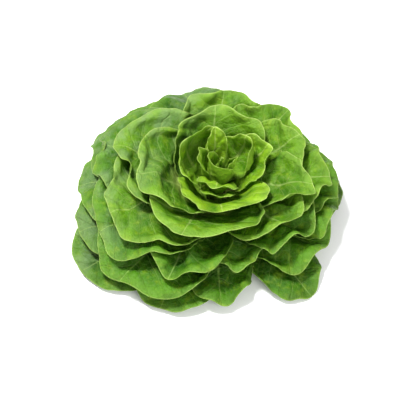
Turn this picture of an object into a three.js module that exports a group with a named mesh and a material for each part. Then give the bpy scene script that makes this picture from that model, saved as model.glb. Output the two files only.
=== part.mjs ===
// A butterhead lettuce, cut and resting on its stem: an open head of broad, soft, waved leaves.
// Every leaf grows from a short leaning stem, and lies on the leaves outside it.
// Millimetres and degrees, +Z up, origin in the middle of the stem's cut face.
import * as THREE from 'three';

// The stem: a short cone that holds all the leaves, cut flat where the head was harvested.
const STEM_CUT_RADIUS = 15;
const STEM_SWELL_RADIUS = 16;
const STEM_SWELL_HEIGHT = 4;
const STEM_TIP_RADIUS = 5.5;
const STEM_HEIGHT = 43;
const STEM_SIDES = 28;
const STEM_GAP = 0.35; // clear space between a leaf's base and the stem

// The head leans to one side, and its far side stands a little higher than its near side.
const LEAN_X = 0.2;
const LEAN_Y = -0.06;
const FAR_SIDE_RISE = 0.12; // share of a point's height added at the far edge
const SPREAD_RADIUS = 122;

// Leaves are laid on a family of meridian curves, numbered like growth rings: ring 0 stands in
// the heart and ring 7 lies on the table. Each row gives where a curve leaves the stem, and
// where and at what angle from upright it ends.
const MERIDIANS = [
  { baseHeight: 38, baseAngle: 0, edgeRadius: 4, edgeHeight: 74, edgeAngle: 0 },
  { baseHeight: 34, baseAngle: 20, edgeRadius: 21, edgeHeight: 78, edgeAngle: 22 },
  { baseHeight: 28, baseAngle: 45, edgeRadius: 43, edgeHeight: 76, edgeAngle: 30 },
  { baseHeight: 23.5, baseAngle: 60, edgeRadius: 70, edgeHeight: 70, edgeAngle: 80 },
  { baseHeight: 19, baseAngle: 66, edgeRadius: 91, edgeHeight: 57, edgeAngle: 108 },
  { baseHeight: 15, baseAngle: 71, edgeRadius: 105, edgeHeight: 39, edgeAngle: 120 },
  { baseHeight: 11, baseAngle: 76, edgeRadius: 115, edgeHeight: 19, edgeAngle: 121 },
  { baseHeight: 7, baseAngle: 82, edgeRadius: SPREAD_RADIUS, edgeHeight: 2, edgeAngle: 102 },
];
const BASE_PULL = 0.4; // length of a curve's first handle, as a share of its chord
const EDGE_PULL = 0.35;
const RING_WIDTH = 20; // millimetres from one ring to the next, near the leaves' edges
const LEAST_RING_WIDTH = 3; // where the meridians draw together
const TABLE_RING = 7.3; // no leaf is laid lower than this

// Blades are thin, with a thicker rib that fades towards the edge.
const BLADE_THICKNESS = 0.8;
const RIB_THICKNESS = 1.2; // added at the foot of the midrib
const RIB_HALF_WIDTH = 0.3; // share of the half leaf
const BUCKLE = 1.6; // how far the middle of a blade swells in and out
const CURL_START = 0.7; // where along a leaf its end starts to turn up, as a share of its length
const HOLLOW_START = 0.3; // the same for the hollow below that
const HOLLOW_FULL = 0.6;
const HOLLOW_SHARE = 0.4; // depth of the hollow, as a share of the curl
const BASE_HALF_ANGLE = 31; // half the angle that every leaf's foot takes up round the stem
const WIDEST = 0.62; // where along a leaf it is widest, as a share of its length
const END_NARROWING = 0.12; // share of its angle that a leaf loses from there to its end
const SIDE_FALL = 0.42; // share of its length that a leaf loses at its sides
const END_ROUNDNESS = 2.6; // a higher power makes a leaf's end blunter
const SIDE_PROP = [7, 31]; // degrees beyond a leaf's side where its support starts to fade and ends
const END_PROP = [0.06, 0.26]; // the same beyond its end, as shares of its length
const LEAST_GAP = 1.9; // between two leaves' middles, at the foot
const EDGE_GAP = 2.4; // added towards the edge
const SOFTNESS = 0.5; // rings over which a leaf comes to lie on the one outside it
const HEART_SHARE = 0.5; // of the gap and of the rib's thickness, for leaves in the heart
const HEART_RING = 3; // where both reach their full size

// The leaves, from the heart out. at: the direction a leaf grows in, 0 to the right and -90 to
// the front. ring: how far out it lies. reach: its length, as a share of its meridian. half:
// half the angle that it covers. waves, lift, phase: how often, how far in millimetres and
// from where its edge waves. curl: how far in millimetres its end turns up, or down below 0.
// cup, where there is one: how far in rings its sides bend outwards, or inwards below 0.
const LEAVES = [
  { name: 'heart_leaf_1', at: 150, ring: -0.1, reach: 0.96, half: 80, waves: 1, lift: 1, phase: 0, curl: 0 },
  { name: 'heart_leaf_2', at: -12, ring: 0.4, reach: 0.94, half: 64, waves: 2, lift: 2, phase: 1, curl: 1 },
  { name: 'heart_leaf_3', at: -140, ring: 0.65, reach: 1, half: 135, waves: 1, lift: 2, phase: 2, curl: 0 },
  { name: 'heart_leaf_4', at: 180, ring: 1.05, reach: 1, half: 56, waves: 1, lift: 2, phase: 1, curl: -1 },
  {
    name: 'heart_leaf_5', at: 108, ring: 1.3, reach: 1.04, half: 42,
    waves: 1, lift: 1, phase: 0, curl: 1, cup: -0.3,
  },
  { name: 'heart_leaf_6', at: -104, ring: 1.4, reach: 0.95, half: 58, waves: 1, lift: 1, phase: 0, curl: -5 },
  { name: 'heart_leaf_7', at: 48, ring: 1.65, reach: 0.98, half: 58, waves: 2, lift: 2, phase: 2, curl: 7 },
  { name: 'heart_leaf_8', at: -96, ring: 1.85, reach: 0.86, half: 40, waves: 2, lift: 1, phase: 0, curl: -3 },
  { name: 'cup_leaf_1', at: 150, ring: 2, reach: 0.96, half: 90, waves: 1, lift: 1, phase: 0, curl: 3 },
  { name: 'cup_leaf_2', at: 22, ring: 2.1, reach: 0.92, half: 66, waves: 2, lift: 2, phase: 1, curl: 3 },
  {
    name: 'cup_leaf_3', at: -92, ring: 2.35, reach: 0.97, half: 86,
    waves: 2, lift: 2.5, phase: 3, curl: -4, cup: -0.15,
  },
  { name: 'inner_leaf_1', at: 97, ring: 2.85, reach: 0.94, half: 91, waves: 2, lift: 2, phase: 0, curl: 5 },
  { name: 'inner_leaf_2', at: 193, ring: 3.3, reach: 1.12, half: 71, waves: 2, lift: 3, phase: 1, curl: 6 },
  { name: 'inner_leaf_3', at: -115, ring: 3.45, reach: 1.06, half: 80, waves: 2, lift: 3, phase: 2, curl: 5 },
  { name: 'inner_leaf_4', at: -16, ring: 3.55, reach: 0.97, half: 44, waves: 2, lift: 6, phase: 2, curl: 5 },
  { name: 'inner_leaf_5', at: 24, ring: 3.8, reach: 0.95, half: 42, waves: 2, lift: 5, phase: 1, curl: 5 },
  { name: 'middle_leaf_1', at: 46, ring: 3.9, reach: 0.96, half: 48, waves: 3, lift: 6, phase: 1, curl: 5 },
  { name: 'middle_leaf_2', at: 166, ring: 4.05, reach: 1.1, half: 64, waves: 2, lift: 3, phase: 2, curl: 7 },
  { name: 'middle_leaf_3', at: 88, ring: 4.15, reach: 0.95, half: 50, waves: 3, lift: 4, phase: 3, curl: 6 },
  { name: 'middle_leaf_4', at: -46, ring: 4.3, reach: 0.86, half: 50, waves: 2, lift: 4, phase: 0, curl: 5 },
  { name: 'middle_leaf_5', at: 205, ring: 4.7, reach: 1.09, half: 60, waves: 2, lift: 3, phase: 1, curl: 7 },
  { name: 'middle_leaf_6', at: -2, ring: 4.6, reach: 0.97, half: 40, waves: 3, lift: 8, phase: 2, curl: 4 },
  { name: 'broad_leaf_1', at: 160, ring: 5, reach: 1.13, half: 50, waves: 2, lift: 3, phase: 3, curl: 7 },
  { name: 'broad_leaf_2', at: 208, ring: 5.3, reach: 1.1, half: 54, waves: 2, lift: 4, phase: 0, curl: 7 },
  { name: 'broad_leaf_3', at: -37, ring: 5.3, reach: 0.86, half: 44, waves: 3, lift: 8, phase: 1, curl: 4 },
  { name: 'broad_leaf_4', at: -112, ring: 5.4, reach: 0.95, half: 38, waves: 3, lift: 5, phase: 2, curl: 5 },
  { name: 'broad_leaf_5', at: 2, ring: 5.5, reach: 1, half: 38, waves: 3, lift: 8, phase: 3, curl: 4 },
  { name: 'broad_leaf_6', at: 102, ring: 5.6, reach: 1.12, half: 38, waves: 3, lift: 4, phase: 1, curl: 5 },
  { name: 'broad_leaf_7', at: -82, ring: 5.75, reach: 0.76, half: 38, waves: 3, lift: 5, phase: 0, curl: 5 },
  { name: 'broad_leaf_8', at: -14, ring: 5.9, reach: 0.97, half: 36, waves: 3, lift: 8, phase: 1, curl: 4 },
  { name: 'outer_leaf_1', at: 142, ring: 6, reach: 1.14, half: 46, waves: 2, lift: 4, phase: 2, curl: 6 },
  { name: 'outer_leaf_2', at: 230, ring: 6.1, reach: 1.08, half: 50, waves: 3, lift: 4, phase: 3, curl: 6 },
  { name: 'outer_leaf_3', at: -34, ring: 6.2, reach: 0.97, half: 40, waves: 3, lift: 7, phase: 0, curl: 4 },
  { name: 'outer_leaf_4', at: 174, ring: 6.3, reach: 1.04, half: 42, waves: 2, lift: 4, phase: 2, curl: 6 },
  { name: 'outer_leaf_5', at: 42, ring: 6.45, reach: 0.97, half: 42, waves: 3, lift: 6, phase: 3, curl: 3 },
  { name: 'ground_leaf_1', at: 198, ring: 6.6, reach: 1.02, half: 38, waves: 2, lift: 3, phase: 1, curl: 4 },
  { name: 'ground_leaf_2', at: -86, ring: 6.7, reach: 0.92, half: 26, waves: 3, lift: 4, phase: 0, curl: 3 },
  { name: 'ground_leaf_3', at: 8, ring: 6.75, reach: 1, half: 36, waves: 3, lift: 5, phase: 2, curl: 3 },
  { name: 'ground_leaf_4', at: -48, ring: 6.82, reach: 1.09, half: 23, waves: 3, lift: 3, phase: 1, curl: 2 },
  { name: 'ground_leaf_5', at: 250, ring: 6.9, reach: 0.99, half: 34, waves: 2, lift: 3, phase: 2, curl: 2 },
  { name: 'ground_leaf_6', at: 70, ring: 6.95, reach: 1, half: 40, waves: 3, lift: 4, phase: 0, curl: 2 },
  { name: 'ground_leaf_7', at: 214, ring: 7, reach: 1.09, half: 38, waves: 2, lift: 3, phase: 3, curl: 2 },
  { name: 'ground_leaf_8', at: 135, ring: 7.05, reach: 1.02, half: 40, waves: 2, lift: 3, phase: 1, curl: 2 },
];

// Vertices across each row of a leaf, from its foot to its edge.
const ROWS_LARGE = [6, 7, 8, 9, 11, 13, 15, 17, 19];
const ROWS_HEART = [5, 6, 7, 9, 11, 13];
const LARGE_FROM_RING = 2;
const ROW_CROWDING = 1.15; // above 1, rows lie closer together near the foot

const radians = THREE.MathUtils.degToRad;

function smoothstep(from, to, x) {
  const t = THREE.MathUtils.clamp((x - from) / (to - from), 0, 1);
  return t * t * (3 - 2 * t);
}

// The smaller of two values, with the corner between them rounded off over a width.
function softMin(a, b, width) {
  const h = Math.max(width - Math.abs(a - b), 0) / width;
  return Math.min(a, b) - (h * h * width) / 4;
}

function stemRadiusAt(height) {
  const share = (height - STEM_SWELL_HEIGHT) / (STEM_HEIGHT - STEM_SWELL_HEIGHT);
  return THREE.MathUtils.lerp(STEM_SWELL_RADIUS, STEM_TIP_RADIUS, share);
}

// One column of MERIDIANS, read smoothly between rings.
function readMeridian(key, ring) {
  const last = MERIDIANS.length - 1;
  const i = THREE.MathUtils.clamp(Math.floor(ring), 0, last - 1);
  const value = (k) => {
    if (k < 0) return 2 * MERIDIANS[0][key] - MERIDIANS[1][key];
    if (k > last) return 2 * MERIDIANS[last][key] - MERIDIANS[last - 1][key];
    return MERIDIANS[k][key];
  };
  const [a, b, c, d] = [value(i - 1), value(i), value(i + 1), value(i + 2)];
  const t = ring - i;
  const square = 2 * a - 5 * b + 4 * c - d;
  const cube = 3 * b - a - 3 * c + d;
  return 0.5 * (2 * b + (c - a) * t + square * t ** 2 + cube * t ** 3);
}

// Radius and height of a point on a ring's meridian, along it from 0 at the stem to 1.
function meridianPoint(ring, along) {
  const baseHeight = readMeridian('baseHeight', ring);
  const baseAngle = radians(readMeridian('baseAngle', ring));
  const edgeRadius = readMeridian('edgeRadius', ring);
  const edgeHeight = readMeridian('edgeHeight', ring);
  const edgeAngle = radians(readMeridian('edgeAngle', ring));
  const baseRadius = stemRadiusAt(baseHeight) + STEM_GAP + (BLADE_THICKNESS + RIB_THICKNESS) / 2;
  const chord = Math.hypot(edgeRadius - baseRadius, edgeHeight - baseHeight);
  const start = new THREE.Vector2(baseRadius, baseHeight);
  const end = new THREE.Vector2(edgeRadius, edgeHeight);
  const rise = new THREE.Vector2(Math.sin(baseAngle), Math.cos(baseAngle));
  const fall = new THREE.Vector2(Math.sin(edgeAngle), Math.cos(edgeAngle));
  const first = start.clone().addScaledVector(rise, BASE_PULL * chord);
  const second = end.clone().addScaledVector(fall, -EDGE_PULL * chord);
  return new THREE.CubicBezierCurve(start, first, second, end).getPoint(along);
}

// Millimetres across the meridians for one ring, at a place.
function ringWidthAt(ring, along) {
  const step = 0.01;
  const here = meridianPoint(ring, along);
  const tangent = meridianPoint(ring, along + step).sub(here).normalize();
  const across = meridianPoint(ring + step, along).sub(here);
  return Math.max(Math.abs(tangent.cross(across)) / step, LEAST_RING_WIDTH);
}

// Leans a point of the upright head.
function lean(point) {
  return new THREE.Vector3(
    point.x + LEAN_X * point.z,
    point.y + LEAN_Y * point.z,
    point.z * (1 + (FAR_SIDE_RISE * point.y) / SPREAD_RADIUS),
  );
}

function headPoint(ring, azimuth, along) {
  const p = meridianPoint(ring, along);
  const angle = radians(azimuth);
  return lean(new THREE.Vector3(p.x * Math.cos(angle), p.x * Math.sin(angle), p.y));
}

// How far a leaf reaches at a place across it: a round end that falls away to its sides.
function reachAt(leaf, across) {
  return leaf.reach * (1 - SIDE_FALL * Math.min(Math.abs(across), 1.1) ** END_ROUNDNESS);
}

// How much of its full angle a leaf takes up along it: a narrow foot and a drawn-in end.
function widthAt(leaf, up) {
  const foot = BASE_HALF_ANGLE / leaf.half;
  const drawnIn = END_NARROWING * smoothstep(WIDEST, 1, up);
  return THREE.MathUtils.lerp(foot, 1, smoothstep(0, WIDEST, up)) - drawnIn;
}

// Where a place of a leaf lies in the head.
function placeIn(leaf, across, up) {
  return { azimuth: leaf.at + leaf.half * widthAt(leaf, up) * across, along: up * reachAt(leaf, across) };
}

// Where a place of the head falls on a leaf, and how fully the leaf holds up what lies there.
function placeOn(leaf, azimuth, along) {
  const turn = THREE.MathUtils.euclideanModulo(azimuth - leaf.at + 180, 360) - 180;
  const side = turn / leaf.half;
  let across = side;
  let up = along;
  for (let pass = 0; pass < 6; pass++) {
    up = along / reachAt(leaf, across);
    across = side / widthAt(leaf, Math.min(up, 1));
  }
  const pastSide = smoothstep(...SIDE_PROP, (Math.abs(across) - 1) * leaf.half);
  const pastEnd = smoothstep(...END_PROP, up - 1);
  return {
    across: THREE.MathUtils.clamp(across, -1, 1),
    up: Math.min(up, 1),
    cover: 1 - Math.max(pastSide, pastEnd),
  };
}

// How strongly a leaf is built, from the small ones in the heart to the full-grown ones.
function growth(leaf) {
  return THREE.MathUtils.lerp(HEART_SHARE, 1, Math.min(leaf.ring / HEART_RING, 1));
}

// The ring that a leaf would lie on at a place if nothing were in its way.
function freeRing(leaf, across, up) {
  const wave = leaf.lift * up ** 2.5 * Math.sin(Math.PI * leaf.waves * across + leaf.phase);
  const swell = Math.sin(5 * across + leaf.at) * Math.sin(7 * up + leaf.phase);
  const turnUp = smoothstep(CURL_START, 1, up);
  const hollow = smoothstep(HOLLOW_START, HOLLOW_FULL, up) * (1 - turnUp);
  const curl = leaf.curl * (HOLLOW_SHARE * hollow - turnUp);
  const bend = wave + growth(leaf) * BUCKLE * up * swell + curl;
  return leaf.ring + bend / RING_WIDTH + (leaf.cup ?? 0) * across ** 2 * up;
}

// The ring of a leaf at a place where the leaves outside it leave it room up to the ring ceiling.
function ringUnder(ceiling, leaf, across, up, along) {
  const gap = growth(leaf) * (LEAST_GAP + EDGE_GAP * up);
  return softMin(freeRing(leaf, across, up), ceiling - gap / ringWidthAt(ceiling, along), SOFTNESS);
}

// The ring that leaf number index can lie up to, above the table and each leaf outside it.
function ceilingAt(index, azimuth, along) {
  let ceiling = TABLE_RING;
  for (let k = LEAVES.length - 1; k > index; k--) {
    const place = placeOn(LEAVES[k], azimuth, along);
    if (place.cover <= 0) continue;
    const ring = ringUnder(ceiling, LEAVES[k], place.across, place.up, along);
    ceiling = THREE.MathUtils.lerp(ceiling, ring, place.cover);
  }
  return ceiling;
}

// The same for a vertex, low enough for its triangles to clear what lies between two vertices.
function clearCeiling(index, across, up, step) {
  const leaf = LEAVES[index];
  const ceilings = [];
  for (const sideways of [-0.5, 0, 0.5]) {
    for (const onwards of [-0.5, 0, 0.5]) {
      const place = placeIn(leaf, across + sideways * step.across, Math.max(up + onwards * step.up, 0));
      ceilings.push(ceilingAt(index, place.azimuth, place.along));
    }
  }
  return Math.min(...ceilings);
}

// Joins two rows of vertices, each from across -1 to 1, by a strip of triangles.
function zipRows(lower, upper, triangles) {
  let i = 0;
  let j = 0;
  while (i < lower.length - 1 || j < upper.length - 1) {
    const nextLower = (i + 1) / (lower.length - 1);
    const nextUpper = (j + 1) / (upper.length - 1);
    if (j === upper.length - 1 || (i < lower.length - 1 && nextLower <= nextUpper)) {
      triangles.push([lower[i], lower[i + 1], upper[j]]);
      i++;
    } else {
      triangles.push([lower[i], upper[j + 1], upper[j]]);
      j++;
    }
  }
}

// Gives a surface its thickness: two like faces and a strip round the edge.
function thicken(points, thicknesses, triangles, border) {
  const normals = points.map(() => new THREE.Vector3());
  for (const [a, b, c] of triangles) {
    const normal = points[b].clone().sub(points[a]).cross(points[c].clone().sub(points[a]));
    [a, b, c].forEach((corner) => normals[corner].add(normal));
  }
  const count = points.length;
  const positions = [];
  [0.5, -0.5].forEach((side) => {
    points.forEach((point, i) => {
      const face = point.clone().addScaledVector(normals[i].normalize(), side * thicknesses[i]);
      positions.push(face.x, face.y, face.z);
    });
  });
  const index = [];
  for (const [a, b, c] of triangles) index.push(a, b, c, count + a, count + c, count + b);
  border.forEach((a, i) => {
    const b = border[(i + 1) % border.length];
    index.push(b, a, count + a, b, count + a, count + b);
  });
  const geometry = new THREE.BufferGeometry();
  geometry.setAttribute('position', new THREE.Float32BufferAttribute(positions, 3));
  geometry.setIndex(index);
  geometry.computeVertexNormals();
  return geometry;
}

function leafGeometry(index) {
  const leaf = LEAVES[index];
  const rowCounts = leaf.ring < LARGE_FROM_RING ? ROWS_HEART : ROWS_LARGE;
  const points = [];
  const thicknesses = [];
  const rows = rowCounts.map((count, row) => {
    const up = (row / (rowCounts.length - 1)) ** ROW_CROWDING;
    return Array.from({ length: count }, (_, column) => {
      const across = (2 * column) / (count - 1) - 1;
      const { azimuth, along } = placeIn(leaf, across, up);
      const step = { across: 2 / (count - 1), up: 1 / (rowCounts.length - 1) };
      const ceiling = clearCeiling(index, across, up, step);
      points.push(headPoint(ringUnder(ceiling, leaf, across, up, along), azimuth, along));
      const ribSection = Math.exp(-((across / RIB_HALF_WIDTH) ** 2));
      const rib = growth(leaf) * RIB_THICKNESS * (1 - up) ** 1.5 * ribSection;
      thicknesses.push(BLADE_THICKNESS + rib);
      return points.length - 1;
    });
  });
  const triangles = [];
  for (let row = 1; row < rows.length; row++) zipRows(rows[row - 1], rows[row], triangles);
  const inner = rows.slice(1, -1);
  const border = [
    ...rows[0],
    ...inner.map((row) => row[row.length - 1]),
    ...[...rows[rows.length - 1]].reverse(),
    ...inner.map((row) => row[0]).reverse(),
  ];
  return thicken(points, thicknesses, triangles, border);
}

// The stem is turned upright and then leans with the head.
function stemGeometry() {
  const profile = [
    [0, 0],
    [STEM_CUT_RADIUS, 0],
    [STEM_SWELL_RADIUS, STEM_SWELL_HEIGHT],
    [STEM_TIP_RADIUS, STEM_HEIGHT],
    [STEM_TIP_RADIUS / 2, STEM_HEIGHT + 2],
    [0, STEM_HEIGHT + 2.5],
  ].map(([radius, height]) => new THREE.Vector2(radius, height));
  const geometry = new THREE.LatheGeometry(profile, STEM_SIDES);
  geometry.rotateX(Math.PI / 2);
  const position = geometry.getAttribute('position');
  for (let i = 0; i < position.count; i++) {
    const point = lean(new THREE.Vector3().fromBufferAttribute(position, i));
    position.setXYZ(i, point.x, point.y, point.z);
  }
  return geometry;
}

const head = new THREE.Group();

const stem = new THREE.Mesh(
  stemGeometry(),
  new THREE.MeshStandardMaterial({ color: 0xdfe3bd, roughness: 0.7, metalness: 0 }),
);
stem.name = 'stem';
head.add(stem);

const HEART_COLOUR = new THREE.Color(0xa6c83c);
const OUTER_COLOUR = new THREE.Color(0x5c9a2c);
LEAVES.forEach((leaf, index) => {
  const colour = HEART_COLOUR.clone().lerp(OUTER_COLOUR, leaf.ring / (MERIDIANS.length - 1));
  const material = new THREE.MeshStandardMaterial({ color: colour, roughness: 0.5, metalness: 0 });
  const mesh = new THREE.Mesh(leafGeometry(index), material);
  mesh.name = leaf.name;
  head.add(mesh);
});

export default head;
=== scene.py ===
"""A butterhead lettuce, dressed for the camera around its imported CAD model.

The script grows the head as it is put together: the cut stem first, then the leaves from the
lowest one, which lies on the table, in to the small folded ones of the heart.
"""

import math

import bpy
import numpy as np
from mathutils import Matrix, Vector


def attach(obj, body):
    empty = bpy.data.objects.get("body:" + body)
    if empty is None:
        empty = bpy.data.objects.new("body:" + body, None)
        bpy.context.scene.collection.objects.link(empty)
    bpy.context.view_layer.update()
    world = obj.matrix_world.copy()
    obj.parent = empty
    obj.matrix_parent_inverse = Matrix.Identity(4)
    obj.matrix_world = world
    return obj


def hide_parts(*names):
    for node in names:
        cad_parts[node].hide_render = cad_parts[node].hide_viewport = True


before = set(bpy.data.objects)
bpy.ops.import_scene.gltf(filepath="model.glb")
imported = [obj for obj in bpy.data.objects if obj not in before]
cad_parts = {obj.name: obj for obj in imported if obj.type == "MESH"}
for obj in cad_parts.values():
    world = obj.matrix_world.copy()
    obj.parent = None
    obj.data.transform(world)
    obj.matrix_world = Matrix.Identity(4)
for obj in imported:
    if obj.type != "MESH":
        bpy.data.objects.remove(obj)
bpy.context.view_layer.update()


# ---- The stem ------------------------------------------------------------------------------
# The short core that carries every leaf, sliced off flat where the head was harvested. It is
# pale, wet plant flesh: darker vessels show on the cut, and leaf scars on its side.

STEM_CUT_RADIUS = 15.0  # all head sizes are millimetres, as in the CAD
STEM_SWELL_RADIUS = 16.0
STEM_SWELL_HEIGHT = 4.0
STEM_TIP_RADIUS = 5.5
STEM_HEIGHT = 43.0
STEM_SIDES = 72
STEM_LEVELS = 24
STEM_SCAR_HALF_DEPTH = 0.25
STEM_SCAR_SPIRALS = 5  # leaves grow from the stem in spirals
LEAN_X = 0.2  # the head leans to the right and a little forward
LEAN_Y = -0.06
FAR_SIDE_RISE = 0.12  # share of its height that is added at the far edge
SPREAD_RADIUS = 122.0
MM = 0.001


def lean(x, y, z):
    """Points of the upright head, leaned as it rests, in metres."""
    rise = 1 + FAR_SIDE_RISE * y / SPREAD_RADIUS
    return np.stack([x + LEAN_X * z, y + LEAN_Y * z, z * rise], axis=-1) * MM


def stem_radius(height):
    """Radius of the tapering stem, above its widest place."""
    share = (height - STEM_SWELL_HEIGHT) / (STEM_HEIGHT - STEM_SWELL_HEIGHT)
    return STEM_SWELL_RADIUS + (STEM_TIP_RADIUS - STEM_SWELL_RADIUS) * share


def new_piece(name, points, faces, material=None):
    """A mesh object at the origin, with its place in its mesh."""
    mesh = bpy.data.meshes.new(name)
    mesh.from_pydata(points.tolist(), [], faces)
    mesh.polygons.foreach_set("use_smooth", [True] * len(mesh.polygons))
    if material:
        mesh.materials.append(material)
    piece = bpy.data.objects.new(name, mesh)
    bpy.context.scene.collection.objects.link(piece)
    return piece


def add_node(tree, kind, settings=None, *inputs, **named):
    """Adds one node, with its settings, and a link or a constant for each of its inputs."""
    node = tree.nodes.new(kind)
    for key, value in (settings or {}).items():
        setattr(node, key, value)
    given = list(enumerate(inputs)) + [(key.replace("_", " "), value) for key, value in named.items()]
    for key, value in given:
        if isinstance(value, bpy.types.NodeSocket):
            tree.links.new(value, node.inputs[key])
        elif value is not None:
            node.inputs[key].default_value = value
    return node


def linear(colour):
    """A linear RGBA colour from its sRGB hex value."""
    parts = [int(colour[i : i + 2], 16) / 255 for i in (0, 2, 4)]
    return [p / 12.92 if p <= 0.04045 else ((p + 0.055) / 1.055) ** 2.4 for p in parts] + [1.0]


def new_material(name):
    """A material with no node in it yet."""
    material = bpy.data.materials.new(name)
    material.use_nodes = True
    material.node_tree.nodes.clear()
    return material


def ramp(tree, value, low, high, at_low=0.0, at_high=1.0, kind="SMOOTHSTEP"):
    """A socket that goes from one level to another while a value goes from low to high."""
    settings = {"interpolation_type": kind}
    return add_node(tree, "ShaderNodeMapRange", settings, value, low, high, at_low, at_high).outputs[0]


def noise(tree, place, scale, detail, roughness=None):
    """Smooth noise whose lumps are 1 / scale metres wide."""
    node = add_node(tree, "ShaderNodeTexNoise", None, place, Scale=scale, Detail=detail, Roughness=roughness)
    return node.outputs["Fac"]


def mix(tree, share, first, second):
    """A colour between two, each of them a socket or an sRGB hex value."""
    ends = [linear(colour) if isinstance(colour, str) else colour for colour in (first, second)]
    settings = {"data_type": "RGBA"}
    return add_node(tree, "ShaderNodeMix", settings, Factor=share, A=ends[0], B=ends[1]).outputs[2]


def cut_flesh():
    """Cut plant flesh: pale and moist, with greener vessels in it, and green towards its tip."""
    material = new_material("cut_lettuce_stem")
    tree = material.node_tree
    place = add_node(tree, "ShaderNodeTexCoord").outputs["Object"]
    # Vessels are about 2 mm apart.
    vessels = noise(tree, place, 500.0, 4.0)
    height = add_node(tree, "ShaderNodeSeparateXYZ", None, place).outputs["Z"]
    shade = mix(tree, vessels, "c9cf9a", "ece9cf")
    greened = mix(tree, ramp(tree, height, 0.004, 0.03), shade, "7c9c34")
    relief = add_node(tree, "ShaderNodeBump", None, Strength=0.4, Distance=0.0004, Height=vessels)
    surface = add_node(
        tree,
        "ShaderNodeBsdfPrincipled",
        None,
        Base_Color=greened,
        Roughness=0.45,
        IOR=1.38,
        Normal=relief.outputs["Normal"],
    )
    add_node(tree, "ShaderNodeOutputMaterial", None, surface.outputs["BSDF"])
    return material


# Rings of radius and height: across the cut, round its edge, up the side and over the tip.
stem_profile = [
    (0.0, 0.0),
    (4.0, 0.0),
    (8.0, 0.0),
    (12.0, 0.0),
    (STEM_CUT_RADIUS, 0.0),
    (STEM_CUT_RADIUS + 0.5, 1.0),
]
side_heights = np.linspace(STEM_SWELL_HEIGHT, STEM_HEIGHT, STEM_LEVELS)
stem_profile += [(stem_radius(height), height) for height in side_heights]
stem_profile += [(STEM_TIP_RADIUS / 2, STEM_HEIGHT + 2), (0.0, STEM_HEIGHT + 2.5)]
turns = np.arange(STEM_SIDES) * 2 * math.pi / STEM_SIDES
stem_points = [(0.0, 0.0, 0.0)]
for radius, height in stem_profile[1:-1]:
    spiral = 1 + np.sin(STEM_SCAR_SPIRALS * turns + height)
    scars = 1 - STEM_SCAR_HALF_DEPTH / STEM_SWELL_RADIUS * spiral * min(height, 1)
    for turn, scar in zip(turns, scars):
        stem_points.append((radius * scar * math.cos(turn), radius * scar * math.sin(turn), height))
stem_points.append((0.0, 0.0, stem_profile[-1][1]))
stem_faces = []
for side in range(STEM_SIDES):
    after = (side + 1) % STEM_SIDES
    stem_faces.append((0, 1 + after, 1 + side))
    for level in range(len(stem_profile) - 3):
        low = 1 + level * STEM_SIDES
        high = low + STEM_SIDES
        stem_faces.append((low + side, low + after, high + after, high + side))
    top = 1 + (len(stem_profile) - 3) * STEM_SIDES
    stem_faces.append((top + side, top + after, len(stem_points) - 1))
stem_at = np.array(stem_points)
stem = new_piece("stem_flesh", lean(*stem_at.T), stem_faces, cut_flesh())
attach(stem, "root")
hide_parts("stem")

# ---- The ground leaves ---------------------------------------------------------------------
# The lowest, oldest leaves. They spread on the table and hold the head up. They are broad thin
# blades, dark green, veined from a pale rib that is thick where it leaves the stem.

STEM_GAP = 0.35
BLADE_THICKNESS = 0.8
RIB_THICKNESS = 1.2
# Leaves lie on a family of meridian curves, one row per growth ring from the heart out: height
# and angle where a curve leaves the stem, radius, height and angle where it ends.
MERIDIANS = np.array(
    [
        (38, 0, 4, 74, 0),
        (34, 20, 21, 78, 22),
        (28, 45, 43, 76, 30),
        (23.5, 60, 70, 70, 80),
        (19, 66, 91, 57, 108),
        (15, 71, 105, 39, 120),
        (11, 76, 115, 19, 121),
        (7, 82, SPREAD_RADIUS, 2, 102),
    ]
)
BASE_PULL = 0.4  # how strongly a curve keeps its angle at each end, as a share of its chord
EDGE_PULL = 0.35
LEAST_RING_WIDTH = 3.0


def smoothstep(low, high, x):
    """Goes from 0 to 1 while x goes from low to high, and levels off at both ends."""
    t = np.clip((x - low) / (high - low), 0, 1)
    return t * t * (3 - 2 * t)


def blend(a, b, share):
    return a + (b - a) * share


def soft_min(a, b, width):
    """The smaller of two values, with the corner between them rounded off over a width."""
    h = np.maximum(width - np.abs(a - b), 0) / width
    return np.minimum(a, b) - h * h * width / 4


before_first = 2 * MERIDIANS[0] - MERIDIANS[1]
after_last = 2 * MERIDIANS[-1] - MERIDIANS[-2]
padded_meridians = np.vstack([before_first, MERIDIANS, after_last])


def meridian_point(ring, along):
    """Radius and height of a point on a ring's meridian, along it from 0 at the stem to 1."""
    i = np.clip(np.floor(ring), 0, len(MERIDIANS) - 2).astype(int)
    t = (ring - i)[..., None]
    a, b, c, d = (padded_meridians[i + k] for k in range(4))
    square = 2 * a - 5 * b + 4 * c - d
    cube = 3 * b - a - 3 * c + d
    row = 0.5 * (2 * b + (c - a) * t + square * t**2 + cube * t**3)
    base_height, base_angle, edge_radius, edge_height, edge_angle = np.moveaxis(row, -1, 0)
    base_angle, edge_angle = np.radians(base_angle), np.radians(edge_angle)
    base_radius = stem_radius(base_height) + STEM_GAP + (BLADE_THICKNESS + RIB_THICKNESS) / 2
    chord = np.hypot(edge_radius - base_radius, edge_height - base_height)
    base_pull = BASE_PULL * chord
    edge_pull = EDGE_PULL * chord
    curve = [
        (base_radius, base_height),
        (base_radius + base_pull * np.sin(base_angle), base_height + base_pull * np.cos(base_angle)),
        (edge_radius - edge_pull * np.sin(edge_angle), edge_height - edge_pull * np.cos(edge_angle)),
        (edge_radius, edge_height),
    ]
    back = 1 - along
    weights = [back**3, 3 * back**2 * along, 3 * back * along**2, along**3]
    return [sum(w * point[axis] for w, point in zip(weights, curve)) for axis in (0, 1)]


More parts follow.
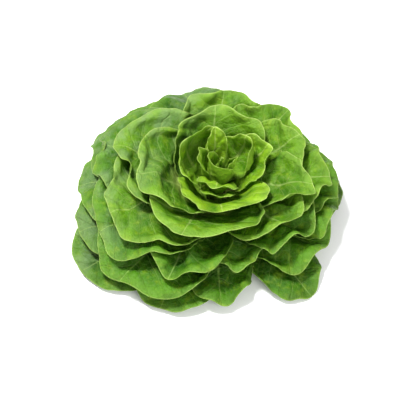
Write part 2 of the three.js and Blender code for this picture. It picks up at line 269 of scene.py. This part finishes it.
def ring_width(ring, along):
    """Millimetres across the meridians for one ring, at a place."""
    step = 0.01
    here = meridian_point(ring, along)
    onward = meridian_point(ring, along + step)
    beside = meridian_point(ring + step, along)
    tangent = (onward[0] - here[0], onward[1] - here[1])
    across = (beside[0] - here[0], beside[1] - here[1])
    turned = np.abs(tangent[0] * across[1] - tangent[1] * across[0])
    return np.maximum(turned / np.hypot(*tangent) / step, LEAST_RING_WIDTH)


# A leaf's outline, in shares of its half width and of its length.
SIDE_FALL = 0.42
END_ROUNDNESS = 2.6
PAST_SIDE = 1.1
WIDEST = 0.62
END_NARROWING = 0.12
BASE_HALF_ANGLE = 31.0


def reach_at(leaf, across):
    """How far a leaf reaches at a place across it: a round end that falls away to its sides."""
    return leaf["reach"] * (1 - SIDE_FALL * np.minimum(np.abs(across), PAST_SIDE) ** END_ROUNDNESS)


def width_at(leaf, up):
    """How much of its full angle a leaf takes up along it: a narrow foot and a drawn-in end."""
    foot = BASE_HALF_ANGLE / leaf["half"]
    return blend(foot, 1, smoothstep(0, WIDEST, up)) - END_NARROWING * smoothstep(WIDEST, 1, up)


SIDE_PROP = (7.0, 31.0)  # degrees past its side over which a leaf stops holding up those on it
END_PROP = (0.06, 0.26)  # the same past its end, as a share of its length
PLACING_PASSES = 4


def place_on(leaf, azimuth, along):
    """Where a place of the head falls on a leaf, and how fully the leaf holds up what lies there."""
    side = ((azimuth - leaf["at"] + 180) % 360 - 180) / leaf["half"]
    across = side
    for _ in range(PLACING_PASSES):
        up = along / reach_at(leaf, across)
        across = side / width_at(leaf, np.minimum(up, 1))
    past_side = smoothstep(*SIDE_PROP, (np.abs(across) - 1) * leaf["half"])
    past_end = smoothstep(*END_PROP, up - 1)
    return np.clip(across, -1, 1), np.minimum(up, 1), 1 - np.maximum(past_side, past_end)


HEART_SHARE = 0.5
HEART_RING = 3


def growth(leaf):
    """How far a leaf has grown out: the smallest leaves of the heart lie closer and bend less."""
    return blend(HEART_SHARE, 1, min(leaf["ring"] / HEART_RING, 1))


RING_WIDTH = 20.0  # millimetres between two rings, where bends are measured
WAVE_GROWTH = 2.5  # waves are slight at the foot and grow towards the edge
BUCKLE = 1.6
BUCKLE_RATES = (5, 7)
RUFFLES_PER_WAVE = 1.6
RUFFLE_START = 0.5  # where along a leaf its edge starts to ruffle
DIMPLE = 2.0
DIMPLE_RATE = 11.0
CURL_START = 0.7
HOLLOW_START = 0.3
HOLLOW_FULL = 0.6
HOLLOW_SHARE = 0.4  # depth of the hollow as a share of the rim's turn


def free_ring(leaf, across, up):
    """The ring that a leaf would lie on at a place if nothing were in its way."""
    wave = leaf["lift"] * up**WAVE_GROWTH * np.sin(math.pi * leaf["waves"] * across + leaf["phase"])
    across_rate, up_rate = BUCKLE_RATES
    swell = np.sin(across_rate * across + leaf["at"]) * np.sin(up_rate * up + leaf["phase"])
    bend = wave + growth(leaf) * BUCKLE * up * swell
    # The CAD's facets are too coarse for these small ruffles and dimples.
    ruffle = np.sin(math.pi * (RUFFLES_PER_WAVE * leaf["waves"] + 1) * across + leaf["at"])
    bend += leaf["ruffle"] * smoothstep(RUFFLE_START, 1, up) * ruffle
    dimple = np.sin(DIMPLE_RATE * across + 3 * leaf["at"]) * np.sin(DIMPLE_RATE * up + leaf["at"])
    bend += growth(leaf) * DIMPLE * dimple * up
    # As in the CAD, the blade is hollow like a bowl, and its rim turns up.
    turn_up = smoothstep(CURL_START, 1, up)
    hollow = smoothstep(HOLLOW_START, HOLLOW_FULL, up) * (1 - turn_up)
    bend += leaf["curl"] * (HOLLOW_SHARE * hollow - turn_up)
    return leaf["ring"] + bend / RING_WIDTH + leaf["cup"] * across**2 * up


LEAST_GAP = 2.2  # more than in the CAD, because the relief takes some of it
EDGE_GAP = 2.4  # what is added to it towards a leaf's edge
SOFTNESS = 0.5


def ring_under(ceiling, leaf, across, up, along):
    """The ring that a leaf lies on where the leaves outside it leave it room up to a ceiling."""
    gap = growth(leaf) * (LEAST_GAP + EDGE_GAP * up)
    return soft_min(free_ring(leaf, across, up), ceiling - gap / ring_width(ceiling, along), SOFTNESS)


TABLE_RING = 7.3  # leaves on the table lie here
laid_leaves = []  # each leaf lies on those laid before it


def resting_ring(leaf, azimuth, along, across, up):
    """The ring that a leaf comes to rest on, laid on the table and on all the leaves before it."""
    ceiling = np.full(azimuth.shape, TABLE_RING)
    for below in laid_leaves:
        below_across, below_up, cover = place_on(below, azimuth, along)
        held = cover > 0
        if held.any():
            ring = ring_under(ceiling[held], below, below_across[held], below_up[held], along[held])
            ceiling[held] = blend(ceiling[held], ring, cover[held])
    return ring_under(ceiling, leaf, across, up, along)


def unit(vectors):
    """The same directions, one unit long."""
    return vectors / np.maximum(np.linalg.norm(vectors, axis=-1, keepdims=True), 1e-12)


GRAIN = 2.1  # size of a mesh face
FOOT_RADIUS, RADIUS_PER_RING = 25, 11  # a leaf's usual radius and length set its count of faces
FOOT_LENGTH, LENGTH_PER_RING = 52, 12
LEAST_HALF_COLUMNS = 12
LEAST_ROWS = 26
ROW_CROWDING = 0.85  # rows stand a little closer towards the edge
SCALLOPS = ((0.008, 7, 1), (0.003, 19, 2))  # share of the reach, rate across the leaf, shift
VEIN_SPACING = 13.0
VEIN_SLANT = 0.8
VEIN_BEND = 2.0
VEIN_STAGGER = 0.25  # side veins leave the rib by turns, left and right
VEIN_STAGGER_WIDTH = 3.0
RIB_HALF_WIDTH = 0.3  # as a share of half the leaf's width
RIB_TAPER = 1.5


def blade_sheet(leaf):
    """A leaf's middle surface as rows of points from foot to edge, and where each point is on it."""
    arc = 2 * math.radians(leaf["half"]) * (FOOT_RADIUS + RADIUS_PER_RING * leaf["ring"])
    columns = 2 * max(LEAST_HALF_COLUMNS, round(arc / GRAIN / 2)) + 1
    rows = max(LEAST_ROWS, round(leaf["reach"] * (FOOT_LENGTH + LENGTH_PER_RING * leaf["ring"]) / GRAIN))
    across, up = np.meshgrid(np.linspace(-1, 1, columns), np.linspace(0, 1, rows) ** ROW_CROWDING)
    scallop = sum(share * np.sin(rate * across + shift * leaf["at"]) for share, rate, shift in SCALLOPS)
    along = up * reach_at(leaf, across) * (1 + scallop * up**3)
    azimuth = leaf["at"] + leaf["half"] * width_at(leaf, up) * across
    radius, height = meridian_point(resting_ring(leaf, azimuth, along, across, up), along)
    turn = np.radians(azimuth)
    points = lean(radius * np.cos(turn), radius * np.sin(turn), height)
    facing = unit(np.cross(np.gradient(points, axis=0), np.gradient(points, axis=1)))
    side_steps = np.linalg.norm(np.diff(points, axis=1), axis=-1)
    side = np.concatenate([np.zeros((rows, 1)), np.cumsum(side_steps, axis=1)], axis=1)
    from_rib = side - side[:, [columns // 2]]
    up_steps = np.linalg.norm(np.diff(points, axis=0), axis=-1)
    length = np.concatenate([np.zeros((1, columns)), np.cumsum(up_steps, axis=0)], axis=0)
    to_side = np.minimum(side, side[:, [-1]] - side)
    to_end = length[[-1]] - length
    vein = length - VEIN_SLANT * np.abs(from_rib) + VEIN_BEND * from_rib**2
    alternate = VEIN_STAGGER * np.tanh(from_rib / (VEIN_STAGGER_WIDTH * MM))
    fields = {
        "vein": vein / (VEIN_SPACING * MM * growth(leaf)) + alternate,
        "rib": np.abs(from_rib),
        "margin": np.minimum(to_side, to_end),
        "up": up,
        "rib_section": growth(leaf) * (1 - up) ** RIB_TAPER * np.exp(-((across / RIB_HALF_WIDTH) ** 2)),
    }
    return points, facing, fields


TISSUE_THICKNESS = 0.55  # the blade between its veins, thinner than the CAD's flat facets


def closed_blade(name, points, facing, fields):
    """A closed leaf: two like faces on the middle surface, joined by a rounded margin."""
    rows, columns = points.shape[:2]
    number = np.arange(rows * columns).reshape(rows, columns)
    squares = [number[:-1, :-1], number[1:, :-1], number[1:, 1:], number[:-1, 1:]]
    upper = np.stack(squares, axis=-1).reshape(-1, 4)
    lower = upper[:, ::-1] + rows * columns
    border = np.concatenate([number[0], number[1:-1, -1], number[-1, ::-1], number[-2:0:-1, 0]])
    inward = np.concatenate([number[1], number[1:-1, -2], number[-2, ::-1], number[-2:0:-1, 1]])
    flat = points.reshape(-1, 3)
    outward = unit(flat[border] - flat[inward])
    rim = flat[border] + outward * TISSUE_THICKNESS / 2 * MM
    first = 2 * rows * columns
    edge = np.arange(len(border))
    after = (edge + 1) % len(border)
    strip = [
        np.stack([border[edge], border[after], first + after, first + edge], axis=-1),
        np.stack([first + edge, first + after, border[after], border[edge]], axis=-1)
        + np.array([0, 0, rows * columns, rows * columns]),
    ]
    everything = np.concatenate([upper, lower] + strip)
    piece = new_piece(name, np.concatenate([flat, flat, rim]), everything.tolist())
    skin = np.concatenate([np.ones(rows * columns), -np.ones(rows * columns), np.zeros(len(border))])
    faced = facing.reshape(-1, 3)
    direction = np.concatenate([faced, faced, faced[border]])
    attributes = piece.data.attributes
    attributes.new("facing", "FLOAT_VECTOR", "POINT").data.foreach_set("vector", direction.ravel())
    attributes.new("skin", "FLOAT", "POINT").data.foreach_set("value", skin)
    for key, field in fields.items():
        level = field.reshape(-1)
        whole = np.concatenate([level, level, level[border]])
        attributes.new(key, "FLOAT", "POINT").data.foreach_set("value", whole)
    return piece


def combine(tree, operation, *values, clamp=False):
    """The result of one sum on two or three values."""
    return add_node(tree, "ShaderNodeMath", {"operation": operation, "use_clamp": clamp}, *values).outputs[0]


def lumps(tree, place, seed, size):
    """Noise whose lumps have a size that the tree is given."""
    per_metre = combine(tree, "DIVIDE", 1.0, size)
    settings = {"noise_dimensions": "4D"}
    return add_node(tree, "ShaderNodeTexNoise", settings, place, seed, per_metre, Detail=1.0).outputs[0]


PUCKER_SHARE = 0.1  # how much the places between veins add to the swellings
RIDGE_SHARE = 0.6  # how far a groove above shows as a ridge below
HEAD_SEED = 7.0  # one for all leaves, so that those pressed together share their blisters


def blade_relief():
    """The tree that raises a flat blade's veins, blisters and crinkled margin, and thickens it."""
    tree = bpy.data.node_groups.new("blade_relief", "GeometryNodeTree")
    face = tree.interface
    face.new_socket("Blade", in_out="INPUT", socket_type="NodeSocketGeometry")
    for name in (
        "Tissue thickness",
        "Rib thickness",
        "Vein depth",
        "Blister height",
        "Blister size",
        "Crinkle height",
        "Crinkle size",
        "Seed",
    ):
        face.new_socket(name, in_out="INPUT", socket_type="NodeSocketFloat")
    face.new_socket("Finish", in_out="INPUT", socket_type="NodeSocketMaterial")
    face.new_socket("Blade", in_out="OUTPUT", socket_type="NodeSocketGeometry")
    given = add_node(tree, "NodeGroupInput").outputs
    named = "GeometryNodeInputNamedAttribute"
    vein, rib, margin, section, up, skin = [
        add_node(tree, named, {"data_type": "FLOAT"}, name).outputs[0]
        for name in ("vein", "rib", "margin", "rib_section", "up", "skin")
    ]
    facing = add_node(tree, named, {"data_type": "FLOAT_VECTOR"}, "facing").outputs[0]
    place = add_node(tree, "GeometryNodeInputPosition").outputs[0]

    # Between two veins the tissue has grown faster than they have, and puckers up. The leaf's
    # foot is nearly smooth.
    off_vein = combine(tree, "PINGPONG", vein, 0.5)
    puckered = combine(tree, "MULTIPLY", ramp(tree, off_vein, 0.0, 0.38), ramp(tree, rib, 0.0, 0.007))
    uneven = combine(tree, "SUBTRACT", lumps(tree, place, given["Seed"], given["Blister size"]), 0.42)
    mixed = combine(tree, "MULTIPLY_ADD", puckered, PUCKER_SHARE, uneven)
    raised = combine(tree, "MULTIPLY", mixed, given["Blister height"])
    blister = combine(tree, "MULTIPLY", raised, ramp(tree, up, 0.25, 0.6, 0.1, 1.0))

    # Veins are grooves in the upper face and ridges under the blade, and fade near the margin.
    vein_line = ramp(tree, off_vein, 0.0, 0.13, 1.0, 0.0)
    rib_line = ramp(tree, rib, 0.0, 0.003, 1.0, 0.0)
    line = combine(tree, "MAXIMUM", vein_line, rib_line)
    faded = combine(tree, "MULTIPLY", line, ramp(tree, margin, 0.002, 0.018, 0.1, 1.0))
    groove = combine(tree, "MULTIPLY", faded, given["Vein depth"])
    relief = combine(tree, "SUBTRACT", blister, groove)

    # The outer part of the margin grew fastest of all, so it is crinkled.
    crinkle = combine(tree, "SUBTRACT", lumps(tree, place, given["Seed"], given["Crinkle size"]), 0.5)
    edge_part = combine(
        tree, "MULTIPLY", ramp(tree, margin, 0.0, 0.016, 1.0, 0.0), ramp(tree, up, 0.45, 0.8)
    )
    edged = combine(tree, "MULTIPLY", crinkle, edge_part)
    whole = combine(tree, "MULTIPLY_ADD", edged, given["Crinkle height"], relief)

    # Half the thickness to each side, thinner towards the margin.
    rib_part = combine(tree, "MULTIPLY", section, given["Rib thickness"])
    thin = ramp(tree, margin, 0.0, 0.004, 0.65, 1.0)
    body = combine(tree, "MULTIPLY_ADD", thin, given["Tissue thickness"], rib_part)
    veined = combine(tree, "MULTIPLY_ADD", groove, RIDGE_SHARE, body)
    half = combine(tree, "MULTIPLY", veined, 0.5)
    outward = combine(tree, "MULTIPLY_ADD", half, skin, whole)
    move = add_node(tree, "ShaderNodeVectorMath", {"operation": "SCALE"}, facing, Scale=outward).outputs[0]
    store = {"data_type": "FLOAT", "domain": "POINT"}
    kept = add_node(
        tree, "GeometryNodeStoreNamedAttribute", store, given["Blade"], None, "raised", mixed
    ).outputs[0]
    moved = add_node(tree, "GeometryNodeSetPosition", None, kept, Offset=move).outputs[0]
    real = add_node(tree, "GeometryNodeRealizeInstances", None, moved).outputs[0]
    done = add_node(tree, "GeometryNodeSetMaterial", None, real, Material=given["Finish"]).outputs[0]
    add_node(tree, "NodeGroupOutput", None, done)
    return tree


relief_tree = blade_relief()


def grow_leaf(leaf, body, finish, relief):
    """Lays one leaf on those below it, raises its relief and puts it on its CAD node."""
    flat = closed_blade(leaf["name"] + "_blade", *blade_sheet(leaf))
    modifier = flat.modifiers.new("relief", "NODES")
    modifier.node_group = relief_tree
    sizes = dict(relief, **{"Rib thickness": RIB_THICKNESS, "Tissue thickness": TISSUE_THICKNESS})
    items = relief_tree.interface.items_tree
    sockets = {item.name: item.identifier for item in items if item.in_out == "INPUT"}
    for name, size in sizes.items():
        modifier[sockets[name]] = size * MM
    modifier[sockets["Seed"]] = HEAD_SEED
    modifier[sockets["Finish"]] = finish
    graph = bpy.context.evaluated_depsgraph_get()
    mesh = bpy.data.meshes.new_from_object(
        flat.evaluated_get(graph), preserve_all_data_layers=True, depsgraph=graph
    )
    flat.modifiers.remove(modifier)
    flat.data = mesh
    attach(flat, body)
    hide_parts(leaf["name"])
    laid_leaves.append(leaf)


GLOW_SHARE = 0.36  # how much of the light from a blade comes through it


def lettuce_green(name, deep, bright, vein, rim, foot, under, glow, roughness):
    """Living leaf tissue: thin, wet and softly glossy, so that light also comes through it.
    It is mottled, netted with fine veins, and has a pale, almost clear margin."""
    material = new_material(name)
    tree = material.node_tree
    place = add_node(tree, "ShaderNodeTexCoord").outputs["Object"]
    at_vein, at_rib, at_margin, at_up, at_skin, at_raised = [
        add_node(tree, "ShaderNodeAttribute", {"attribute_name": field}).outputs["Fac"]
        for field in ("vein", "rib", "margin", "up", "skin", "raised")
    ]

    # Mottling in patches of about 15 mm, and finer flecks of 3 mm.
    patch = ramp(tree, noise(tree, place, 65.0, 5.0, 0.62), 0.28, 0.72)
    flecks = noise(tree, place, 330.0, 3.0)
    flecked = combine(tree, "MULTIPLY_ADD", flecks, 0.5, patch)
    # Painted sheen and shade: the swellings between the veins are painted paler and the hollows deeper
    # green.
    painted_crest_sheen = ramp(tree, at_raised, -0.08, 0.28)
    mottle_and_crest_sheen = combine(tree, "MULTIPLY_ADD", painted_crest_sheen, 0.8, flecked)
    # Painted shade: the blade is brightest over its last 30 mm and darker green further in, in the hollow
    # under the next leaf's rim.
    painted_hollow_shade = ramp(tree, at_margin, 0.004, 0.03, 0.62, 0.3)
    mottle_sheen_and_hollow_shade = combine(tree, "MULTIPLY", mottle_and_crest_sheen, painted_hollow_shade, clamp=True)
    green = mix(tree, mottle_sheen_and_hollow_shade, deep, bright)
    # Yellower spots of about 8 mm, where the tissue is thin.
    yellowed = ramp(tree, noise(tree, place, 120.0, 4.0, 0.65), 0.48, 0.72, 0.0, 0.42)
    blade = mix(tree, yellowed, green, "9cb62a")

    # Painted sheen: a pale sheen is painted at the head's left and back, where the light from the back left
    # reflects, in patches of about 25 mm, and more of it on the upper faces than on the lower ones.
    spot = add_node(tree, "ShaderNodeSeparateXYZ", None, place).outputs
    sheen_side = combine(tree, "MULTIPLY_ADD", spot["X"], -1.6, spot["Y"])
    painted_sheen_side = ramp(tree, sheen_side, 0.0, 0.13, 0.0, 0.6)
    sheen_patches = ramp(tree, noise(tree, place, 38.0, 4.0, 0.6), 0.4, 0.6)
    sheen_upper_face = ramp(tree, at_skin, 0.0, 1.0, 0.3, 1.0, kind="LINEAR")
    sheen_part = combine(tree, "MULTIPLY", painted_sheen_side, sheen_patches)
    painted_sheen = combine(tree, "MULTIPLY", sheen_part, sheen_upper_face)
    sheened = mix(tree, painted_sheen, blade, "86a072")

    # The pale rib is about 5 mm wide low on the leaf and runs out near its end.
    rib_reach = ramp(tree, at_up, 0.1, 0.95, 0.0036, 0.0005, kind="LINEAR")
    rib_line = ramp(tree, combine(tree, "DIVIDE", at_rib, rib_reach), 0.3, 1.0, 1.0, 0.0)
    # Side veins, about 1 mm wide, wander a little from their course.
    wander = noise(tree, place, 55.0, 2.0)
    course = combine(tree, "MULTIPLY_ADD", wander, 0.35, at_vein)
    vein_line = ramp(tree, combine(tree, "PINGPONG", course, 0.5), 0.0, 0.06, 0.8, 0.0)
    # The net between them has meshes of about 4 mm.
    cracks = {"feature": "DISTANCE_TO_EDGE"}
    net = add_node(tree, "ShaderNodeTexVoronoi", cracks, place, Scale=240.0).outputs["Distance"]
    lines = combine(tree, "MAXIMUM", vein_line, ramp(tree, net, 0.0, 0.12, 0.35, 0.0))
    faded = combine(tree, "MULTIPLY", lines, ramp(tree, at_margin, 0.001, 0.022, 0.15, 1.0))
    drawn = combine(tree, "MAXIMUM", faded, rib_line)
    veined = mix(tree, combine(tree, "MULTIPLY", drawn, 0.45), sheened, vein)

    # The foot was shaded by its neighbours and stayed pale.
    footed = mix(tree, ramp(tree, at_up, 0.18, 0.5, 1.0, 0.0), veined, foot)
    # The blade pales over its last 12 mm, and its clear margin is about 0.7 mm wide. The pale margin
    # line is partly the real clear margin and partly a painted highlight along the edge.
    paling = ramp(tree, at_margin, 0.0, 0.012, 0.2, 0.0)
    line = ramp(tree, at_margin, 0.0002, 0.0011, 0.7, 0.0)
    edged = mix(tree, combine(tree, "MAXIMUM", paling, line), footed, rim)
    # The underside is greyer.
    colour = mix(tree, ramp(tree, at_skin, -1.0, 0.0, 0.5, 0.0, kind="LINEAR"), edged, under)

    # Fine puckers of about 5 mm stand up, the cells of the skin show at 1 mm, and veins lie low.
    puckers = noise(tree, place, 190.0, 3.0)
    skin_cells = noise(tree, place, 900.0, 2.0)
    cells = combine(tree, "MULTIPLY_ADD", puckers, 3.0, skin_cells)
    low_net = combine(tree, "MULTIPLY_ADD", lines, -1.0, cells)
    bump = add_node(tree, "ShaderNodeBump", None, Strength=0.8, Distance=0.0009, Height=low_net)
    surface = add_node(
        tree,
        "ShaderNodeBsdfPrincipled",
        None,
        Base_Color=colour,
        Roughness=combine(tree, "MULTIPLY_ADD", flecks, 0.2, roughness - 0.1),
        IOR=1.4,
        Specular_IOR_Level=0.45,
        Normal=bump.outputs["Normal"],
    )
    # The light that comes through the blade takes on a brighter green there.
    through = add_node(tree, "ShaderNodeBsdfTranslucent", None, mix(tree, 0.5, colour, glow))
    both = [surface.outputs["BSDF"], through.outputs["BSDF"]]
    tissue = add_node(tree, "ShaderNodeMixShader", None, GLOW_SHARE, *both)
    add_node(tree, "ShaderNodeOutputMaterial", None, tissue.outputs["Shader"])
    return material


LEAF_KEYS = ("name", "at", "ring", "reach", "half", "waves", "lift", "phase", "cup", "ruffle", "curl")

ground_green = lettuce_green(
    "outer_leaf_tissue_dark", "1f4c09", "50821a", "a5c06a", "a3bf62", "cfdc8a", "7a9448", "78b812", 0.45
)
ground_relief = {
    "Vein depth": 0.5,
    "Blister height": 5.5,
    "Blister size": 18.0,
    "Crinkle height": 3.0,
    "Crinkle size": 11.0,
}
for row in (
    ("ground_leaf_8", 135, 7.05, 1.02, 40, 2, 3, 1, 0, 0.6, 2),
    ("ground_leaf_7", 214, 7.0, 1.09, 38, 2, 3, 3, 0, 0.6, 2),
    ("ground_leaf_6", 70, 6.95, 1.0, 40, 3, 4, 0, 0, 1, 2),
    ("ground_leaf_5", 250, 6.9, 0.99, 34, 2, 3, 2, 0, 0.6, 2),
    ("ground_leaf_4", -48, 6.82, 1.09, 23, 3, 3, 1, 0, 0.6, 2),
    ("ground_leaf_3", 8, 6.75, 1.0, 36, 3, 5, 2, 0, 1, 3),
    ("ground_leaf_2", -86, 6.7, 0.92, 26, 3, 4, 0, 0, 0.6, 3),
    ("ground_leaf_1", 198, 6.6, 1.02, 38, 2, 3, 1, 0, 0.6, 4),
):
    grow_leaf(dict(zip(LEAF_KEYS, row)), "root", ground_green, ground_relief)

# ---- The outer and broad leaves ------------------------------------------------------------
# The leaves that make the outline of the head. Their blades are hollow like shallow bowls, and
# their rims turn up: smooth on the left, and ruffled on the right, where they had more room.

outer_green = lettuce_green(
    "outer_leaf_tissue", "27580b", "5c901e", "accb74", "a9c468", "d3df90", "7f9a4a", "80be12", 0.45
)
outer_relief = {
    "Vein depth": 0.5,
    "Blister height": 6.0,
    "Blister size": 18.0,
    "Crinkle height": 3.0,
    "Crinkle size": 11.0,
}
for row in (
    ("outer_leaf_5", 42, 6.45, 0.97, 42, 3, 6, 3, 0, 1, 3),
    ("outer_leaf_4", 174, 6.3, 1.04, 42, 2, 4, 2, 0, 0.6, 6),
    ("outer_leaf_3", -34, 6.2, 0.97, 40, 3, 7, 0, 0, 1, 4),
    ("outer_leaf_2", 230, 6.1, 1.08, 50, 3, 4, 3, 0, 0.6, 6),
    ("outer_leaf_1", 142, 6.0, 1.14, 46, 2, 4, 2, 0, 0.6, 6),
    ("broad_leaf_8", -14, 5.9, 0.97, 36, 3, 8, 1, 0, 1, 4),
    ("broad_leaf_7", -82, 5.75, 0.76, 38, 3, 5, 0, 0, 1, 5),
    ("broad_leaf_6", 102, 5.6, 1.12, 38, 3, 4, 1, 0, 0.8, 5),
    ("broad_leaf_5", 2, 5.5, 1.0, 38, 3, 8, 3, 0, 1, 4),
    ("broad_leaf_4", -112, 5.4, 0.95, 38, 3, 5, 2, 0, 0.8, 5),
    ("broad_leaf_3", -37, 5.3, 0.86, 44, 3, 8, 1, 0, 1, 4),
    ("broad_leaf_2", 208, 5.3, 1.1, 54, 2, 4, 0, 0, 0.6, 7),
    ("broad_leaf_1", 160, 5.0, 1.13, 50, 2, 3, 3, 0, 0.6, 7),
):
    grow_leaf(dict(zip(LEAF_KEYS, row)), "root", outer_green, outer_relief)

# ---- The middle and inner leaves -----------------------------------------------------------
# Half-open leaves round the heart. They saw less light, so they are brighter. Each is hollow
# like a bowl, and its rim turns up towards the next one in.

inner_green = lettuce_green(
    "half_open_leaf_tissue", "33690d", "729f24", "b8cf7c", "b6cd74", "cfdf80", "8ca64c", "92c818", 0.45
)
inner_relief = {
    "Vein depth": 0.5,
    "Blister height": 6.0,
    "Blister size": 18.0,
    "Crinkle height": 2.6,
    "Crinkle size": 11.0,
}
for row in (
    ("middle_leaf_6", -2, 4.6, 0.97, 40, 3, 8, 2, 0, 1, 4),
    ("middle_leaf_5", 205, 4.7, 1.09, 60, 2, 3, 1, 0, 0.6, 7),
    ("middle_leaf_4", -46, 4.3, 0.86, 50, 2, 4, 0, 0, 0.8, 5),
    ("middle_leaf_3", 88, 4.15, 0.95, 50, 3, 4, 3, 0, 0.8, 6),
    ("middle_leaf_2", 166, 4.05, 1.1, 64, 2, 3, 2, 0, 0.6, 7),
    ("middle_leaf_1", 46, 3.9, 0.96, 48, 3, 6, 1, 0, 1, 5),
    ("inner_leaf_5", 24, 3.8, 0.95, 42, 2, 5, 1, 0, 1, 5),
    ("inner_leaf_4", -16, 3.55, 0.97, 44, 2, 6, 2, 0, 1, 5),
    ("inner_leaf_3", -115, 3.45, 1.06, 80, 2, 3, 2, 0, 0.6, 5),
    ("inner_leaf_2", 193, 3.3, 1.12, 71, 2, 3, 1, 0, 0.6, 6),
    ("inner_leaf_1", 97, 2.85, 0.94, 91, 2, 2, 0, 0, 0.6, 5),
):
    grow_leaf(dict(zip(LEAF_KEYS, row)), "root", inner_green, inner_relief)

# ---- The cup and the heart -----------------------------------------------------------------
# The youngest leaves. A cup of three holds a knot of eight small ones, crumpled where they
# pressed on each other. Kept from the light, they are the yellowest and the most tender.

# The heart's leaves get a mid green foot instead of a pale one: painted shade at the bottom of the heart.
heart_green = lettuce_green(
    "heart_leaf_tissue", "3d7a0c", "98c02c", "d3de8c", "c4d880", "86b034", "a4c44c", "b4e428", 0.44
)
heart_relief = {
    "Vein depth": 0.4,
    "Blister height": 3.5,
    "Blister size": 13.0,
    "Crinkle height": 2.0,
    "Crinkle size": 9.0,
}
for row in (
    ("cup_leaf_3", -92, 2.35, 0.97, 86, 2, 2.5, 3, -0.15, 0.6, -4),
    ("cup_leaf_2", 22, 2.1, 0.92, 66, 2, 2, 1, 0, 0.2, 3),
    ("cup_leaf_1", 150, 2.0, 0.96, 90, 1, 1, 0, 0, 0.2, 3),
    ("heart_leaf_8", -96, 1.85, 0.86, 40, 2, 1, 0, 0, 0.3, -3),
    ("heart_leaf_7", 48, 1.65, 0.98, 58, 2, 2, 2, 0, 0.5, 7),
    ("heart_leaf_6", -104, 1.4, 0.95, 58, 1, 1, 0, 0, 0.2, -5),
    ("heart_leaf_5", 108, 1.3, 1.04, 42, 1, 1, 0, -0.3, 0.4, 1),
    ("heart_leaf_4", 180, 1.05, 1.0, 56, 1, 2, 1, 0, 0.5, -1),
    ("heart_leaf_3", -140, 0.65, 1.0, 135, 1, 2, 2, 0, 0.2, 0),
    ("heart_leaf_2", -12, 0.4, 0.94, 64, 2, 2, 1, 0, 0.6, 1),
    ("heart_leaf_1", 150, -0.1, 0.96, 80, 1, 1, 0, 0, 0.4, 0),
):
    grow_leaf(dict(zip(LEAF_KEYS, row)), "root", heart_green, heart_relief)

# ---- The floor -----------------------------------------------------------------------------
# A matt white sheet under the head, as in a packshot. It isn't part of the object.

FLOOR_SIZE = 6.0
reach = FLOOR_SIZE / 2
floor_corners = np.array([(-reach, -reach, 0), (reach, -reach, 0), (reach, reach, 0), (-reach, reach, 0)])
floor_white = new_material("matt_white_paper")
paper = add_node(
    floor_white.node_tree, "ShaderNodeBsdfPrincipled", None, Base_Color=linear("fafafa"), Roughness=0.9
)
add_node(floor_white.node_tree, "ShaderNodeOutputMaterial", None, paper.outputs["BSDF"])
floor = new_piece("floor", floor_corners, [(0, 1, 2, 3)], floor_white)

# ---- The light -----------------------------------------------------------------------------
# Soft white light from all round, a window high at the left, and two larger and weaker ones: one
# in front, and one low at the back left that grazes the leaves where their sheen is painted.

AIM = Vector((0, 0, 0.03))
ROOM_STRENGTH = 0.5  # the soft light from all round


def window(name, place, size, watts):
    """A square area light that faces the head."""
    data = bpy.data.lights.new(name, "AREA")
    data.size = size
    data.energy = watts
    light = bpy.data.objects.new(name, data)
    bpy.context.scene.collection.objects.link(light)
    light.location = place
    light.rotation_mode = "QUATERNION"
    light.rotation_quaternion = (AIM - Vector(place)).to_track_quat("-Z", "Y")


window("key_window", (-0.3, 0.08, 1.05), 0.2, 15.2)
window("fill_window", (0.45, -0.92, 0.75), 0.7, 8)
window("back_window", (-1.0, 0.9, 0.6), 0.9, 1.2)
world = bpy.data.worlds.new("studio")
world.use_nodes = True
world.node_tree.nodes["Background"].inputs["Color"].default_value = (1, 1, 1, 1)
world.node_tree.nodes["Background"].inputs["Strength"].default_value = ROOM_STRENGTH
bpy.context.scene.world = world
bpy.context.scene.view_settings.view_transform = "Standard"
bpy.context.scene.view_settings.look = "Medium High Contrast"

# ---- The camera ----------------------------------------------------------------------------
# A long lens that looks down at the head from the front, as the photograph does.

ELEVATION = math.radians(52)
DISTANCE = 1.0
PHOTO_SIDE = 400
PIXEL = 0.9 * MM  # one pixel of the photograph at the head
STEM_PIXEL = (207, 206)  # where the middle of the cut stem would be in the photograph
SENSOR = 36.0
back = Vector((0, -math.cos(ELEVATION), math.sin(ELEVATION)))
up = Vector((0, math.sin(ELEVATION), math.cos(ELEVATION)))
right_shift = (PHOTO_SIDE / 2 - STEM_PIXEL[0]) * PIXEL
up_shift = (STEM_PIXEL[1] - PHOTO_SIDE / 2) * PIXEL
lens = bpy.data.cameras.new("camera")
lens.sensor_width = SENSOR
lens.lens = SENSOR * DISTANCE / (PHOTO_SIDE * PIXEL)
camera = bpy.data.objects.new("camera", lens)
bpy.context.scene.collection.objects.link(camera)
camera.location = Vector((right_shift, 0, 0)) + up * up_shift + back * DISTANCE
camera.rotation_mode = "QUATERNION"
camera.rotation_quaternion = (-back).to_track_quat("-Z", "Y")
bpy.context.scene.camera = camera
